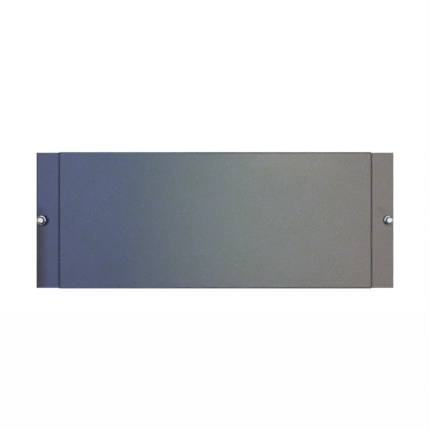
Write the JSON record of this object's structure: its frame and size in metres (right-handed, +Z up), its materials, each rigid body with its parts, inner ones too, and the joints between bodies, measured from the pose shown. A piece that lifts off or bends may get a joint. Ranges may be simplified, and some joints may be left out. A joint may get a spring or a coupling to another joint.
{
  "type": "rack blanking panel",
  "caption": "Folded steel panel that closes an unused opening in a wide equipment rack, with stepped ears at its sides that each carry a sprung captive thumb screw.",
  "frame": {"origin": "halfway between the two screws' axes, on the plane where the backs of the ears seat on the rack's rails", "axes": "X runs across the panel, Z is up, and -Y is the front, towards whoever stands before the rack; the screws point along +Y"},
  "size_m": [0.5842, 0.017, 0.2214],
  "materials": {
    "powder_coat": "matt, fine grain",
    "bright_plate": "bright nickel plate",
    "dark_plate": "black nickel plate",
    "spring_steel": "plain drawn wire"
  },
  "bodies": {
    "panel": {"panel": "powder_coat", "left_ferrule": "dark_plate", "right_ferrule": "dark_plate"},
    "left_plunger": {"left_spring": "spring_steel"},
    "left_screw": {"left_screw": "bright_plate"},
    "right_plunger": {"right_spring": "spring_steel"},
    "right_screw": {"right_screw": "bright_plate"}
  },
  "joints": [
    {"name": "left_press", "type": "slide", "parent": "panel", "child": "left_plunger", "axis": [0, 1, 0], "range_m": [0, 0.0028], "stiffness_N_per_m": 350, "deforming": ["left_spring"]},
    {"name": "left_turn", "type": "hinge", "parent": "left_plunger", "child": "left_screw", "pos_m": [-0.28337, 0, 0], "axis": [0, 1, 0], "continuous": true},
    {"name": "right_press", "type": "slide", "parent": "panel", "child": "right_plunger", "axis": [0, 1, 0], "range_m": [0, 0.0028], "stiffness_N_per_m": 350, "deforming": ["right_spring"]},
    {"name": "right_turn", "type": "hinge", "parent": "right_plunger", "child": "right_screw", "pos_m": [0.28337, 0, 0], "axis": [0, 1, 0], "continuous": true}
  ]
}
